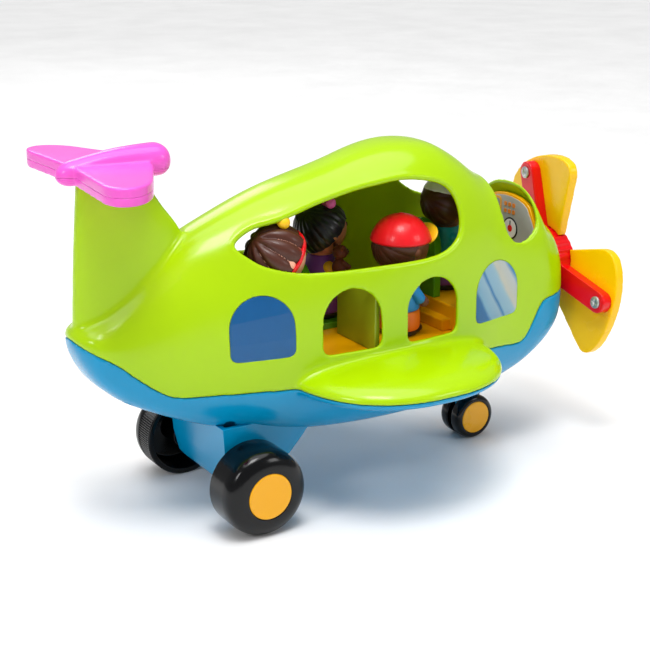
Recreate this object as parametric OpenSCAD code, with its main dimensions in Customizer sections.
// Toddler's toy airplane: two hollow body shells, twin-ended tailplane, three-blade propeller,
// rolling wheels and four lift-out peg figures. Millimetres, nose along +X, port side +Y, floor at Z = 0.

/* [Body] */
// Station of the stern, behind the origin
tail_x = -178; // [-190:1:-172]
// Station of the tip of the nose
nose_x = 144; // [143:0.5:145]
// Wall of the moulded body shells
wall = 2.6; // [2:0.2:3.2]
// Rings along the body
body_rings = 38; // [30:1:44]
// Points around each ring, a multiple of four
ring_points = 40; // [24:4:48]

/* [Wing] */
// Distance from the centreline to a wing tip
wing_tip = 101; // [96:1:106]
// Half of the wing chord where it leaves the body
wing_chord = 66; // [60:1:70]
// Rise of the upper wing skin above the parting line
wing_rise = 13; // [10:1:16]
// Drop of the lower wing skin below the parting line
wing_drop = 10; // [8:1:12]

/* [Wheels] */
// Radius of a rear wheel
rear_r = 25; // [24:0.5:26]
// Station of the rear axle
rear_x = -91.4; // [-95:0.2:-88]
// Distance from the centreline to the outer face of a rear wheel
rear_out = 64; // [62:1:66]
// Radius of a nose wheel
nose_r = 14.4; // [13:0.2:15]
// Station of the nose axle
nose_wheel_x = 91.6; // [88:0.2:94]
// Diameter of the steel axles
axle_d = 5; // [4:0.5:6]

/* [Propeller] */
// Height of the propeller shaft
prop_z = 109; // [108:0.5:110]
// Angle of the uppermost arm from the port side towards up
prop_angle = 74; // [60:0.5:90]
// Distance from the shaft to a blade screw
arm_reach = 57.5; // [56:0.5:59]
// Blade pitch about its arm
blade_pitch = 6; // [4:1:8]
// Diameter of the propeller shaft
shaft_d = 6; // [5:0.5:7]

/* [Cabin] */
// Height of the cabin deck's upper face
deck_z = 88; // [86:1:90]
// Height of the pilot's platform
pilot_z = 103.2; // [102:0.2:104]
// Height of the two rear seats
pad_z = 92; // [91:0.5:94]

/* [Fits] */
// Radial running clearance of axles and shaft
run_gap = 0.05; // [0.02:0.01:0.1]
// Gap between moving pieces that face each other
face_gap = 0.4; // [0.3:0.1:0.6]

/* [Hidden] */
$fn = 48;
eps = 0.01;

// ---- body lines: each is a smooth curve through [station, value] pairs ----
half_width = [[-178, 19], [-150, 24], [-127, 30], [-97, 38], [-62, 45.5], [-30, 49.5], [0, 51],
              [30, 50], [62, 45.5], [85, 40.5], [105, 38], [125, 37.5], [145, 37.5]];
crown = [[-178, 120], [-165, 122], [-150, 131], [-130, 146], [-112, 160], [-95, 168], [-60, 181],
         [-20, 191], [18, 200], [45, 199], [62, 191], [82, 177], [100, 170], [112, 167.5], [118, 166],
         [122, 160], [127, 149.5], [131, 145], [138, 143.5], [145, 143]];
beam_height = [[-178, 114], [-150, 100], [-120, 92], [-60, 88], [60, 88], [110, 92], [135, 97], [145, 99]];
keel = [[-178, 98], [-165, 85], [-152, 74], [-127, 61], [-98, 50], [-60, 42], [-20, 38], [20, 37],
        [60, 38], [90, 41], [105, 45], [115, 49.5], [125, 57], [133, 64], [145, 70]];
parting = [[-181, 116], [-174, 110], [-160, 101], [-146, 89], [-133, 80], [-124, 78], [-105, 77.5],
           [-60, 76], [0, 76], [60, 75], [88, 72.5], [101, 71.5], [106, 73.5], [111, 81], [116, 91],
           [120, 96], [128, 98], [138, 100], [150, 100.5]];
stern_round = 13;
nose_round = 22;
roof_power_rear = 2.3;
roof_power_front = 2.7;
hull_power = 3;

// Openings seen from the side, [station, height]: the starboard one is tall, the port ones are a low slot
// and a cockpit window with a pillar between them
starboard_opening = [[-91, 157], [-85, 149], [-73, 142.5], [-50, 138], [-5, 137], [30, 138], [46, 144],
                     [52, 155], [50, 170], [40, 180], [18, 184.5], [-6, 182], [-36, 176], [-61, 169], [-79, 165]];
port_opening = [[-86, 147], [-76, 138], [-55, 132.5], [-20, 131], [2, 132], [12, 138], [14, 147], [4, 153.5],
                [-20, 154], [-50, 151.5], [-74, 152.5]];
port_window = [[55, 171], [59, 165], [68, 158.5], [80, 154], [95, 152], [110, 152], [110, 180], [66, 180], [58, 178]];
cockpit_notch = [[88, 215], [88, 168], [89, 152], [91, 142], [96, 136], [102, 134.5], [108, 136], [113, 139.5],
                 [116.5, 144], [118, 150], [118, 215]];
window_w = 37;
window_h = 36;
window_x = [-82, -28.5, 26, 78.5];
window_sill = [95.5, 93, 92, 92.5];
sticker_depth = 0.7;
sticker_gap = 0.1;

// Wheels and gear
axle_z = rear_r;
nose_axle_z = nose_r;
rear_in = 39;
rear_cap_r = 13.4;
nose_cap_r = 10.6;
leg_half = 33;
nose_leg_t = 3.2;
nose_wheel_w = 8;

// Propeller places
arm_t = 7;
hub_r = 22;
bush_d = 12;
blade_t = 6;
blade_screw_d = 4;
bush_x = 131;
bush_end = 144.6;

// Figures: [station, side, base height]
pilot_at = [71, 1, pilot_z];
bow_at = [-61, -19, pad_z];
bear_at = [-7, 21, pad_z];
boy_at = [21, -22, deck_z];
peg_d = 11;
peg_h = 2.5;
head_up = 54;
head_r = 16.5;
small_head_r = 15.5;

// Middle of the whole length, so that the origin is under it
centre_x = 9.15;
module centred() {
    translate([centre_x, 0, 0])
        children();
}

// ---- curve helpers ----
function slope(p, i) =
    let (a = max(i - 1, 0), b = min(i + 1, len(p) - 1)) (p[b][1] - p[a][1]) / (p[b][0] - p[a][0]);
function hermite(p, i, x) =
    let (d = p[i + 1][0] - p[i][0], t = (x - p[i][0]) / d)
    p[i][1] * (1 + 2 * t) * (1 - t) * (1 - t) + slope(p, i) * d * t * (1 - t) * (1 - t)
    + p[i + 1][1] * t * t * (3 - 2 * t) - slope(p, i + 1) * d * t * t * (1 - t);
function curve(p, x, i = 0) =
    x <= p[0][0] ? p[0][1]
    : i >= len(p) - 1 ? p[len(p) - 1][1]
    : x <= p[i + 1][0] ? hermite(p, i, x)
    : curve(p, x, i + 1);
function power(v, e) = sign(v) * pow(abs(v), e);

// ---- body section ----
// The cabin roof is round behind and flattens ahead of the carrying arch
function roof_power(x) = roof_power_rear + (roof_power_front - roof_power_rear) * min(1, max(0, (x + 10) / 40));
function end_factor(x) =
    x < tail_x + stern_round ? sqrt(max(0, 1 - pow((tail_x + stern_round - x) / stern_round, 2)))
    : x > nose_x - nose_round ? pow(max(0, 1 - pow((x - nose_x + nose_round) / nose_round, 3)), 1 / 3)
    : 1;
function width_at(x) = curve(half_width, x) * end_factor(x);
function beam_at(x) = curve(beam_height, x);
function crown_at(x) = beam_at(x) + (curve(crown, x) - beam_at(x)) * end_factor(x);
function keel_at(x) = beam_at(x) - (beam_at(x) - curve(keel, x)) * end_factor(x);
// Half-breadth of the section at station x and height z, inset by w
function breadth(x, z, w = 0) =
    let (m = beam_at(x), up = z > m, h = up ? crown_at(x) - m - w : m - keel_at(x) - w,
         n = up ? roof_power(x) : hull_power, s = min(1, abs(z - m) / h))
    (width_at(x) - w) * pow(max(0, 1 - pow(s, n)), 1 / n);
function ring(x, w, count) = [
    for (i = [0:count - 1])
        let (a = 360 * i / count, m = beam_at(x), up = sin(a) >= 0, n = up ? roof_power(x) : hull_power,
             h = up ? crown_at(x) - m - w : m - keel_at(x) - w)
        [x, (width_at(x) - w) * power(cos(a), 2 / n), m + h * power(sin(a), 2 / n)]
];
// Stations crowd towards both ends, where the body rounds off
function station(t, a, b) = a + (b - a) * (0.5 - 0.5 * cos(180 * t)) * 0.75 + (b - a) * t * 0.25;

module skin(rings) {
    count = len(rings[0]);
    last = len(rings) - 1;
    polyhedron(
        points = [for (r = rings) for (p = r) p],
        faces = concat(
            [for (j = [0:last - 1]) for (i = [0:count - 1])
                let (k = (i + 1) % count, a = j * count)
                [a + i, a + count + k, a + k]],
            [for (j = [0:last - 1]) for (i = [0:count - 1])
                let (k = (i + 1) % count, a = j * count)
                [a + i, a + count + i, a + count + k]],
            [[for (i = [0:count - 1]) i]],
            [[for (i = [count - 1:-1:0]) last * count + i]]
        ),
        convexity = 10
    );
}

module body_loft() {
    skin([for (j = [0:body_rings]) ring(station(j / body_rings, tail_x + 0.1, nose_x - 0.1), 0, ring_points)]);
}

module cavity_loft() {
    count = body_rings - 10;
    skin([for (j = [0:count]) ring(station(j / count, tail_x + 14, nose_x - 8), wall, ring_points - 8)]);
}

// ---- wing: one loft from tip to tip, w insets it for the hollow ----
function wing_ring(y, w) =
    let (s = max(0, (abs(y) - 34) / (wing_tip - w - 34)), f = pow(max(0, 1 - pow(s, 2.3)), 1 / 2.3),
         c = (wing_chord - w) * f, up = (wing_rise - w) * f, dn = (wing_drop - w) * f, n = 28)
    [for (i = [0:n - 1])
        let (a = 360 * i / n)
        [2 + c * power(cos(a), 0.86), y, 76 + (sin(a) >= 0 ? up : dn) * power(sin(a), 0.86)]];

module wing_loft(w = 0, tip = 0.05) {
    count = 26;
    reach = wing_tip - w - tip;
    skin([for (j = [0:count]) wing_ring(reach * cos(180 * j / count), w)]);
}

// ---- fin: upright loft, thick and rounded, standing on the stern ----
fin_tail = [[100, -176], [130, -174.5], [160, -172.5], [198, -169]];
fin_front = [[100, -100], [150, -106], [166, -111], [180, -121], [198, -132]];
fin_half = [[100, 11], [130, 9], [198, 7]];
function fin_ring(z) =
    let (a = curve(fin_tail, z), b = curve(fin_front, z), h = curve(fin_half, z), n = 24)
    [for (i = [0:n - 1])
        let (t = 360 * i / n, c = cos(t))
        [(a + b) / 2 + (b - a) / 2 * power(c, 0.8), h * power(sin(t), 0.7) * (c > 0 ? 1 - 0.45 * c * c : 1), z]];

module fin_loft() {
    skin([for (z = [108:10:198]) fin_ring(z)]);
}

// ---- parting surface between the two shells ----
module above_parting() {
    rotate([90, 0, 0])
        translate([0, 0, -130])
            linear_extrude(260)
                polygon(concat([for (x = [-181:4:151]) [x, curve(parting, x)]],
                    [[200, 100.5], [200, 260], [-200, 260], [-200, 119]]));
}

// Prism of an outline seen from the side, from y0 to y1
module side_cut(outline, y0, y1) {
    translate([0, y1, 0])
        rotate([90, 0, 0])
            linear_extrude(y1 - y0)
                polygon(outline);
}

// Closed smooth outline through the given corner points
function loop_point(p, i, t) =
    let (n = len(p), a = p[(i + n - 1) % n], b = p[i], c = p[(i + 1) % n], d = p[(i + 2) % n])
    0.5 * (2 * b + (c - a) * t + (2 * a - 5 * b + 4 * c - d) * t * t + (3 * b - a - 3 * c + d) * t * t * t);
function smooth_loop(p, steps = 3) = [for (i = [0:len(p) - 1]) for (k = [0:steps - 1]) loop_point(p, i, k / steps)];

// Arched window outline, w wide and h high, standing on its sill
module arch(w, h, r = 4) {
    hull() {
        translate([-w / 2 + r, r])
            circle(r, $fn = 24);
        translate([w / 2 - r, r])
            circle(r, $fn = 24);
        translate([0, h - w / 2])
            circle(w / 2, $fn = 32);
    }
}

// Arched prism at window i from y0 to y1; inset makes it smaller all round
module window_prism(i, inset = 0, y0 = -80, y1 = 80) {
    translate([window_x[i], 0, window_sill[i]])
        rotate([90, 0, 0])
            translate([0, 0, -y1])
                linear_extrude(y1 - y0)
                    translate([0, inset])
                        arch(window_w - 2 * inset, window_h - 2 * inset);
}

// Windows that are printed labels: the front and rear ones, and the third one on the port side
module label_windows(inset = 0) {
    window_prism(0, inset);
    window_prism(2, inset, 0, 80);
    window_prism(3, inset);
}

module inset_loft(w) {
    skin([for (j = [0:body_rings]) ring(station(j / body_rings, tail_x + 2, nose_x - 2), w, ring_points)]);
}

// ---- screw posts that join the two shells: [station, side, height of the screw head's seat, top] ----
post_at = [[-97, 28, 64, 85], [-150, 11, 83, 112], [60, 36, 60, 85], [108, 24, 60, 85]];
post_d = 10;
screw_hole_d = 6.5;
screw_d = 3;

module both_sides() {
    children();
    mirror([0, 1, 0])
        children();
}

module posts(d, low) {
    both_sides()
        for (p = post_at)
            translate([p[0], p[1], low])
                cylinder(d = d, h = p[3] - low, $fn = 20);
}

// Ribs that tie the upper posts to the side wall
module post_ribs() {
    both_sides()
        for (p = post_at)
            translate([p[0] - 1.2, p[1] + screw_d, 60])
                cube([2.4, 40, p[3] - 60]);
}

// ---- shells ----
module upper_body() {
    color("yellowgreen") centred()
        resize([0, 0, 0])
            difference() {
                intersection() {
                    union() {
                        difference() {
                            union() {
                                body_loft();
                                wing_loft();
                                fin_loft();
                            }
                            cavity_loft();
                            wing_loft(wall);
                        }
                        intersection() {
                            union() {
                                posts(post_d, 60);
                                post_ribs();
                            }
                            inset_loft(0.8);
                        }
                    }
                    above_parting();
                }
                posts(screw_d + 0.2, 50);
                side_cut(smooth_loop(starboard_opening), -130, 0);
                side_cut(smooth_loop(port_opening), 5, 130);
                side_cut(port_window, 12, 130);
                side_cut(cockpit_notch, -130, 130);
                window_prism(1);
                window_prism(2, 0, -80, 0);
                difference() {
                    label_windows();
                    inset_loft(sticker_depth);
                }
                translate([bush_x, 0, prop_z])
                    rotate([0, 90, 0])
                        cylinder(d = bush_d, h = 40, $fn = 64);
            }
}

module lower_hull() {
    color("deepskyblue") centred()
        resize([0, 0, 0])
            difference() {
                union() {
                    difference() {
                        union() {
                            body_loft();
                            wing_loft();
                        }
                        cavity_loft();
                        wing_loft(wall);
                    }
                    intersection() {
                        posts(post_d, 30);
                        inset_loft(0.8);
                    }
                }
                above_parting();
                posts(screw_d + 0.4, 30);
                both_sides()
                    for (p = post_at)
                        translate([p[0], p[1], 20])
                            cylinder(d = screw_hole_d, h = p[2] - 20, $fn = 20);
                leg_block(leg_outline, leg_half);
                nose_leg_blade(0);
            }
}

module hull_screws() {
    color("silver") centred()
        both_sides()
            for (p = post_at)
                translate([p[0], p[1], p[2] - 2.4]) {
                    cylinder(d = 5.6, h = 2.4);
                    translate([0, 0, 2.4])
                        cylinder(d = screw_d, h = 20);
                }
}

// ---- undercarriage ----
leg_outline = [[-104, 56], [-102.5, 34], [-99, 20], [-95.5, 15.5], [-90, 13.5], [-82, 13.5],
               [-77.5, 15.5], [-52, 43], [-42, 56]];
leg_hollow = [[-101, 58], [-99.5, 34.5], [-96.3, 21.5], [-93.5, 18], [-89.5, 16.5], [-82.5, 16.5],
              [-79, 18], [-54.3, 45], [-45, 58]];

module leg_block(outline, half) {
    rotate([90, 0, 0])
        translate([0, 0, -half])
            linear_extrude(2 * half)
                polygon(outline);
}

module rod_y(x, z, y0, y1, d) {
    translate([x, y0, z])
        rotate([-90, 0, 0])
            cylinder(d = d, h = y1 - y0);
}

module main_gear_leg() {
    color("deepskyblue") centred()
        difference() {
            leg_block(leg_outline, leg_half);
            leg_block(leg_hollow, leg_half - 3);
            rod_y(rear_x, axle_z, -leg_half - 5, leg_half + 5, axle_d + 2 * run_gap);
        }
}

module nose_leg_blade(extra) {
    rotate([90, 0, 0])
        translate([0, 0, -nose_leg_t / 2 - extra])
            linear_extrude(nose_leg_t + 2 * extra)
                polygon(concat([[106, 49], [78, 49]],
                    [for (a = [180:15:360]) [nose_wheel_x + 7 * cos(a), nose_axle_z + 7 * sin(a)]]));
}

module nose_gear_leg() {
    color("deepskyblue") centred()
        difference() {
            union() {
                nose_leg_blade(0);
                translate([77, -10, 47.2])
                    cube([21, 20, 3]);
            }
            rod_y(nose_wheel_x, nose_axle_z, -20, 20, axle_d + 2 * run_gap);
        }
}

// Turned about the Y axis: profile points are [radius, distance from the centreline]
module turned_y(x, z, profile) {
    translate([x, 0, z])
        rotate([-90, 0, 0])
            rotate_extrude($fn = 72)
                polygon(profile);
}

rear_wheel_profile = [
    [axle_d / 2, 39.4], [8, 39.4], [8, 57.5], [20, 57.5], [21.5, 55], [21.5, rear_in], [24.2, rear_in],
    [rear_r, rear_in + 0.8], [rear_r, 54], [24.8, 56.5], [23.6, 59.5], [21.4, 61.6], [18, 63],
    [rear_cap_r, rear_out - 0.4], [rear_cap_r, 61.6], [axle_d / 2, 61.6]
];
rear_cap_profile = [[0, 61.6], [rear_cap_r - 0.1, 61.6], [rear_cap_r - 0.1, 63.4], [rear_cap_r - 1, rear_out],
                    [0, rear_out]];
spacer_profile = [[axle_d / 2, leg_half + face_gap], [5, leg_half + face_gap], [5, 39.4], [axle_d / 2, 39.4]];
nose_wheel_profile = [
    [axle_d / 2, 2], [nose_r - 0.6, 2], [nose_r, 2.6], [nose_r, 7.4], [13.7, 9], [12.4, 9.8],
    [nose_cap_r, 10], [nose_cap_r, 8.6], [axle_d / 2, 8.6]
];
nose_cap_profile = [[0, 8.6], [nose_cap_r - 0.1, 8.6], [nose_cap_r - 0.1, 9.6], [nose_cap_r - 0.7, 10], [0, 10]];

module rear_axle() {
    color("silver") centred()
        rod_y(rear_x, axle_z, -61.6, 61.6, axle_d);
}
module rear_wheel_left() {
    color("dimgray") centred()
        turned_y(rear_x, axle_z, rear_wheel_profile);
}
module rear_wheel_right() {
    color("dimgray") centred()
        mirror([0, 1, 0])
            turned_y(rear_x, axle_z, rear_wheel_profile);
}
module rear_hub_cap_left() {
    color("gold") centred()
        turned_y(rear_x, axle_z, rear_cap_profile);
}
module rear_hub_cap_right() {
    color("gold") centred()
        mirror([0, 1, 0])
            turned_y(rear_x, axle_z, rear_cap_profile);
}
module axle_spacers() {
    color("white") centred()
        both_sides()
            turned_y(rear_x, axle_z, spacer_profile);
}
module nose_axle() {
    color("silver") centred()
        rod_y(nose_wheel_x, nose_axle_z, -8.6, 8.6, axle_d);
}
module nose_wheel_left() {
    color("dimgray") centred()
        turned_y(nose_wheel_x, nose_axle_z, nose_wheel_profile);
}
module nose_wheel_right() {
    color("dimgray") centred()
        mirror([0, 1, 0])
            turned_y(nose_wheel_x, nose_axle_z, nose_wheel_profile);
}
module nose_hub_cap_left() {
    color("gold") centred()
        turned_y(nose_wheel_x, nose_axle_z, nose_cap_profile);
}
module nose_hub_cap_right() {
    color("gold") centred()
        mirror([0, 1, 0])
            turned_y(nose_wheel_x, nose_axle_z, nose_cap_profile);
}

// ---- cabin ----
deck_t = 3;
deck_gap = 0.6;
function plan(x0, x1, step, z, w) = concat(
    [for (x = [x0:step:x1]) [x, breadth(x, z, w)]],
    [for (x = [x1:-step:x0]) [x, -breadth(x, z, w)]]
);

module peg(at) {
    translate([at[0], at[1], at[2] - 1])
        cylinder(d = peg_d, h = 1 + peg_h);
}

module cabin_deck() {
    color("gold") centred() {
        translate([0, 0, deck_z - deck_t])
            linear_extrude(deck_t)
                polygon(plan(-120, 110, 10, deck_z - deck_t, wall + deck_gap));
        peg(boy_at);
    }
}

module cockpit_platform() {
    inner = 3;
    color("gold") centred() {
        difference() {
            translate([0, 0, deck_z])
                linear_extrude(pilot_z - deck_z)
                    polygon(plan(50, 110, 10, pilot_z + 6, wall + 1.4));
            translate([0, 0, deck_z - 1])
                linear_extrude(pilot_z - deck_z - 2)
                    polygon(plan(53, 107, 9, pilot_z + 6, wall + 1.4 + inner));
        }
        translate([44, -34, deck_z])
            cube([6, 68, 7]);
        peg(pilot_at);
    }
}

module seat_divider() {
    half = breadth(-10, deck_z + 40, wall) - 1;
    color("olivedrab") centred()
        translate([-11.5, -half, deck_z]) {
            cube([3.5, half - 4, 35]);
            translate([0, 4, 35])
                cube([3.5, half - 12, 4]);
            for (y = [4, half - 8])
                translate([1.75, y, 35])
                    rotate([0, 90, 0])
                        cylinder(r = 4, h = 3.5, center = true);
        }
}

// Seat with a ribbed, round-topped back: x is the rear face of the back
module seat(x, y, z, back_h, half) {
    translate([x, y, z]) {
        translate([0, -half, 0])
            cube([5, 2 * half, back_h - half]);
        translate([2.5, 0, back_h - half])
            rotate([0, 90, 0])
                cylinder(r = half, h = 5, center = true);
        for (k = [-2:2])
            translate([5, k * half * 0.36 - 1.2, 0])
                cube([1.2, 2.4, back_h - half]);
    }
}

module pilot_seat() {
    color("forestgreen") centred()
        seat(50.5, 1, pilot_z, 46, 17);
}
module passenger_seat() {
    color("forestgreen") centred() {
        seat(-27.2, 21, deck_z, 42, 16);
        translate([-22.2, 5, deck_z])
            cube([30, 32, pad_z - deck_z]);
        peg(bear_at);
    }
}

module rear_seat_pad() {
    color("forestgreen") centred() {
        translate([-82, -38, deck_z])
            cube([38, 34, pad_z - deck_z]);
        peg(bow_at);
    }
}

module dash_outline(w) {
    polygon(concat(
        [for (z = [127:4:147]) [breadth(121.5, z, w), z]],
        [for (a = [20:20:160]) [breadth(121.5, 148, w) * cos(a), 148 + (crown_at(121.5) - w - 148) * sin(a)]],
        [for (z = [147:-4:127]) [-breadth(121.5, z, w), z]]
    ));
}

module across_x(x, h) {
    translate([x, 0, 0])
        rotate([90, 0, 90])
            linear_extrude(h)
                children();
}

module dash_panel() {
    color("gold") centred() {
        across_x(118.5, 3)
            dash_outline(wall + 1.4);
        translate([110, -10, deck_z])
            cube([11.5, 20, 3]);
        translate([118.5, -10, deck_z])
            cube([3, 20, 128 - deck_z]);
    }
}
module dash_sticker() {
    color("lightgray") centred()
        across_x(117.9, 0.6)
            dash_outline(wall + 3);
}
module window_stickers() {
    color("lightskyblue") centred()
        resize([0, 0, 0])
            difference() {
                intersection() {
                    label_windows(0.3);
                    inset_loft(sticker_gap);
                }
                inset_loft(sticker_depth - 0.02);
            }
}

// ---- tailplane: two shells clamped on the head of the fin ----
tail_split = 200.5;
tail_low = 196;
tail_high = 205.5;
tail_plan = [[-172, 8], [-175.5, 52], [-173, 60], [-166, 63.5], [-158, 61], [-150, 53], [-133, 18], [-130, 8]];
ridge_mid = [[-180, 201], [-150, 203], [-116, 204]];
ridge_half = [[-180, 6.5], [-150, 8.5], [-128, 10.5], [-116, 10.5]];
ridge_high = [[-180, 6], [-150, 9], [-128, 9.5], [-116, 9]];
ridge_low = [[-180, 6], [-150, 7.5], [-116, 8.5]];
ridge_x0 = -180;
ridge_x1 = -116;

function ridge_end(x) =
    let (r = 8, d = min(x - ridge_x0, ridge_x1 - x)) d >= r ? 1 : sqrt(max(0.0004, 1 - pow((r - d) / r, 2)));
function ridge_ring(x, w) =
    let (m = curve(ridge_mid, x), e = ridge_end(x), b = curve(ridge_half, x) * e - w, n = 24)
    [for (i = [0:n - 1])
        let (a = 360 * i / n, h = (sin(a) >= 0 ? curve(ridge_high, x) : curve(ridge_low, x)) * e - w)
        [x, b * power(cos(a), 0.9), m + h * power(sin(a), 0.9)]];

module ridge_loft() {
    skin([for (j = [0:16]) ridge_ring(station(j / 16, ridge_x0 + 0.02, ridge_x1 - 0.02), 0)]);
}

module tail_plates(z0, z1, inset) {
    both_sides()
        translate([0, 0, z0])
            linear_extrude(z1 - z0)
                offset(r = -inset)
                    polygon(concat([[-172, -12]], tail_plan, [[-130, -12]]));
}

module tailplane() {
    union() {
        ridge_loft();
        tail_plates(tail_low + 1.2, tail_high - 1.2, 0);
        tail_plates(tail_low, tail_high, 1.2);
    }
}

module tailplane_upper() {
    color("orchid") centred()
        resize([0, 0, 0])
            intersection() {
                difference() {
                    tailplane();
                    tail_plates(tail_low + wall, tail_high - wall, wall);
                    posts_tail(2.8, 190, 12.5);
                }
                translate([-200, -80, tail_split])
                    cube([120, 160, 40]);
            }
}

tail_post_at = [[-160, 36], [-148, 21]];
module posts_tail(d, z, h) {
    both_sides()
        for (p = tail_post_at)
            translate([p[0], p[1], z])
                cylinder(d = d, h = h, $fn = 20);
}

module tailplane_lower() {
    color("orchid") centred()
        resize([0, 0, 0])
            difference() {
                tailplane();
                difference() {
                    tail_plates(tail_low + wall, tail_high - wall, wall);
                    posts_tail(7, 190, 20);
                }
                translate([-200, -80, tail_split])
                    cube([120, 160, 40]);
                posts_tail(2.8, 190, 12);
                posts_tail(5.8, 190, 8.4);
                fin_loft();
            }
}

module tailplane_screws() {
    color("silver") centred()
        both_sides()
            for (p = tail_post_at)
                translate([p[0], p[1], tail_low + 0.4]) {
                    cylinder(d = 5, h = 1.8);
                    translate([0, 0, 1.8])
                        cylinder(d = 2.6, h = 4.5);
                }
}

// ---- propeller ----
module rod_x(x0, x1, d, z = prop_z) {
    translate([x0, 0, z])
        rotate([0, 90, 0])
            cylinder(d = d, h = x1 - x0);
}

module tube_x(x0, x1, d_out, d_in) {
    difference() {
        rod_x(x0, x1, d_out);
        rod_x(x0 - 1, x1 + 1, d_in);
    }
}

shaft_x0 = 122.5;
hub_x0 = 145.1;
hub_x1 = 158;
arm_mid = 149.1;
arm_w = 13.6;

module prop_bush() {
    color("ivory") centred() {
        tube_x(bush_x - 3, bush_x, 20, shaft_d + 2 * run_gap);
        tube_x(bush_x, bush_end, bush_d - 0.1, shaft_d + 2 * run_gap);
    }
}
module prop_shaft() {
    color("silver") centred()
        rod_x(shaft_x0, hub_x1 - 2, shaft_d);
}
module prop_retainer() {
    color("silver") centred()
        tube_x(bush_x - 3 - face_gap - 2, bush_x - 3 - face_gap, 12, shaft_d);
}

// Puts a piece drawn along +X (arm), +Y (across), +Z (towards the nose's front) on arm k
module on_arm(k) {
    translate([arm_mid, 0, prop_z])
        rotate([prop_angle + 120 * k, 0, 0])
            rotate([90, 0, 90])
                rotate([-blade_pitch, 0, 0])
                    children();
}

module prop_arm() {
    translate([0, 0, -arm_t / 2])
        linear_extrude(arm_t) {
            translate([0, -arm_w / 2])
                square([arm_reach, arm_w]);
            translate([arm_reach, 0])
                circle(d = arm_w);
        }
}

module prop_hub() {
    color("red") centred()
        difference() {
            union() {
                rod_x(hub_x0, hub_x1, 2 * hub_r);
                for (k = [0, 1, 2])
                    on_arm(k)
                        prop_arm();
            }
            rod_x(hub_x0 - 1, hub_x1 - 2, shaft_d);
            for (k = [0, 1, 2])
                on_arm(k)
                    translate([arm_reach, 0, -10])
                        cylinder(d = blade_screw_d + 0.2, h = 20);
        }
}
module prop_cap() {
    color("red") centred()
        translate([hub_x1, 0, prop_z])
            rotate([0, 90, 0])
                rotate_extrude($fn = 48)
                    polygon([[0, 0], [17, 0], [17, 1], [15.5, 2.2], [10, 3.2], [0, 3.6]]);
}

// Fan-shaped blade: [along the arm, across it]
blade_outline = [[12, 15], [47, 36], [52, 38.5], [57, 38], [61.5, 33], [64.5, 26], [66.5, 15], [66.8, 3], [65, -9],
                 [60.5, -20], [54.5, -27.5], [48, -30], [42, -29], [12, -13]];

module blade(k) {
    color("yellow") centred()
        difference() {
            on_arm(k)
                translate([0, 0, arm_t / 2])
                    linear_extrude(blade_t)
                        polygon(blade_outline);
            rod_x(hub_x0 - 5, hub_x1 + 20, 2 * hub_r + 0.2);
            on_arm(k)
                translate([arm_reach, 0, -10])
                    cylinder(d = blade_screw_d, h = 10 + arm_t / 2 + 4);
        }
}
module prop_blade_upper() {
    blade(0);
}
module prop_blade_starboard() {
    blade(1);
}
module prop_blade_port() {
    blade(2);
}
module prop_screws() {
    color("silver") centred()
        for (k = [0, 1, 2])
            on_arm(k)
                translate([arm_reach, 0, -arm_t / 2 - 1.6]) {
                    cylinder(d = 7.5, h = 1.6);
                    cylinder(d = blade_screw_d, h = arm_t + 1.6 + 3.5);
                }
}

// ---- peg figures ----
body_profile = [[peg_d / 2 + 0.2, 0], [11.5, 0], [12.6, 1.5], [12.6, 8], [12, 16], [12.8, 24], [11.5, 31], [8.5, 37],
                [7.9, 39.4], [0, 39.4], [0, 3], [peg_d / 2 + 0.2, 3]];
foot_gap = 0.3;

module placed(at) {
    translate([at[0], at[1], at[2] + foot_gap])
        children();
}
module peg_body(at) {
    placed(at)
        rotate_extrude($fn = 40)
            polygon(body_profile);
}
module head_ball(at, r = head_r) {
    placed(at)
        difference() {
            translate([0, 0, head_up])
                sphere(r);
            cylinder(r = 20, h = 39.4);
        }
}
// Hair or cap: a shell over the head, cut by a plane tilted back by lean at height cut above the head's centre
module head_cover(at, grow, lean, cut, r = head_r) {
    placed(at)
        translate([0, 0, head_up])
            difference() {
                sphere(r + grow);
                sphere(r + 0.02);
                rotate([0, lean, 0])
                    translate([-40, -40, cut - 80])
                        cube(80);
                translate([0, 0, 39.5 - head_up - 40])
                    cylinder(r = 30, h = 40);
            }
}

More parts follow.
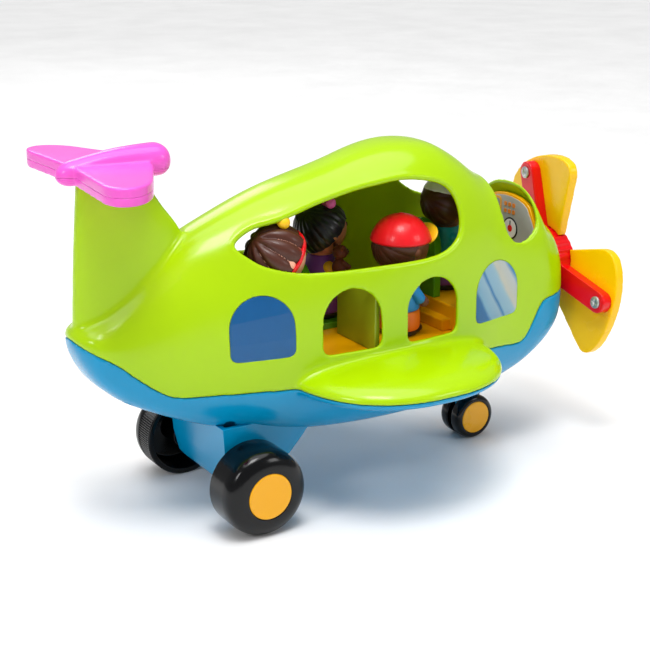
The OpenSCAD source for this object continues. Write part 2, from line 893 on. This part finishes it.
module pilot_body() {
    color("teal") centred()
        peg_body(pilot_at);
}
module pilot_head() {
    color("saddlebrown") centred()
        head_ball(pilot_at, small_head_r);
}
module pilot_cap() {
    color("white") centred()
        head_cover(pilot_at, 1.2, -12, 5, small_head_r);
}
module girl_bow_body() {
    color("tomato") centred()
        peg_body(bow_at);
}
module girl_bow_head() {
    color("peachpuff") centred()
        head_ball(bow_at);
}
module girl_bow_hair() {
    color("saddlebrown") centred()
        head_cover(bow_at, 2, 60, -2);
}
module bear_arm(r) {
    translate([1, -11.5, 32])
        sphere(r);
}
module girl_bear_body() {
    color("gold") centred() {
        peg_body(bear_at);
        placed(bear_at)
            difference() {
                bear_arm(4.5);
                cylinder(r = 8, h = 40);
            }
    }
}
module girl_bear_head() {
    color("sandybrown") centred()
        head_ball(bear_at, small_head_r);
}
module girl_bear_hair() {
    color("black") centred()
        head_cover(bear_at, 1.6, 55, -2, small_head_r);
}
module girl_bear_bear() {
    color("brown") centred()
        placed(bear_at)
            difference() {
                union() {
                    translate([1, -18.6, 34.5])
                        sphere(5.5);
                    translate([1, -19.8, 44])
                        sphere(5);
                }
                cylinder(r = 12.85, h = 40);
                bear_arm(4.55);
            }
}
module boy_body() {
    color("royalblue") centred()
        peg_body(boy_at);
}
module boy_head() {
    color("peru") centred()
        head_ball(boy_at);
}
module boy_cap() {
    color("red") centred()
        head_cover(boy_at, 2, 0, 2);
}

upper_body();
lower_hull();
main_gear_leg();
nose_gear_leg();
cabin_deck();
cockpit_platform();
seat_divider();
pilot_seat();
passenger_seat();
rear_seat_pad();
dash_panel();
dash_sticker();
window_stickers();
tailplane_upper();
tailplane_lower();
tailplane_screws();
hull_screws();
prop_bush();
prop_shaft();
prop_retainer();
prop_hub();
prop_cap();
prop_blade_upper();
prop_blade_starboard();
prop_blade_port();
prop_screws();
rear_axle();
rear_wheel_left();
rear_wheel_right();
rear_hub_cap_left();
rear_hub_cap_right();
axle_spacers();
nose_axle();
nose_wheel_left();
nose_wheel_right();
nose_hub_cap_left();
nose_hub_cap_right();
pilot_body();
pilot_head();
pilot_cap();
girl_bow_body();
girl_bow_head();
girl_bow_hair();
girl_bear_body();
girl_bear_head();
girl_bear_hair();
girl_bear_bear();
boy_body();
boy_head();
boy_cap();
